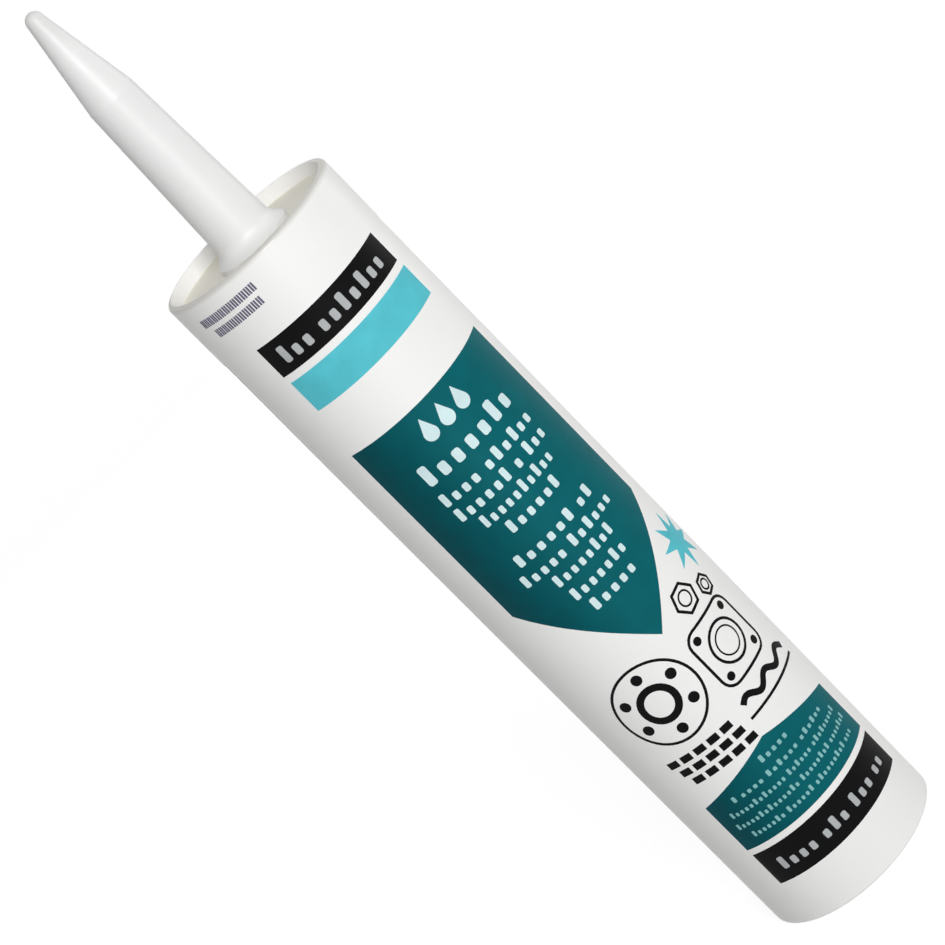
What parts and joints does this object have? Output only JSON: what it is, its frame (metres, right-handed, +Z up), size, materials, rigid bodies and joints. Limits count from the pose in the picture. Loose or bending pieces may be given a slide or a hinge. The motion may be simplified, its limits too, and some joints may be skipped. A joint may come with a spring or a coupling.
{
  "type": "sealant cartridge",
  "caption": "Upright white plastic sealant cartridge: a printed straight tube with a screw-on tapered nozzle at the front and a sliding piston that pushes the paste out.",
  "frame": {"origin": "centre of the rear rim's plane, on which the cartridge stands", "axes": "+Z up the tube to the nozzle's tip, -Y out of the middle of the printed side"},
  "size_m": [0.05, 0.05, 0.2871],
  "materials": {
    "barrel": "white polyethylene with a soft gloss and a printed label",
    "nozzle": "milky white polyethylene, slightly translucent",
    "piston": "natural white polyethylene",
    "sealant": "white, thick, uncured sealing paste"
  },
  "bodies": {
    "barrel": {"barrel": "barrel", "sealant": "sealant"},
    "nozzle": {"nozzle": "nozzle"},
    "piston": {"piston": "piston"}
  },
  "joints": [
    {"name": "nozzle_lift", "type": "slide", "parent": "barrel", "child": "nozzle", "axis": [0, 0, 1], "range_m": [0, 0.04]},
    {"name": "piston_travel", "type": "slide", "parent": "barrel", "child": "piston", "axis": [0, 0, 1], "range_m": [0, 0.1756], "deforming": ["sealant"]}
  ]
}
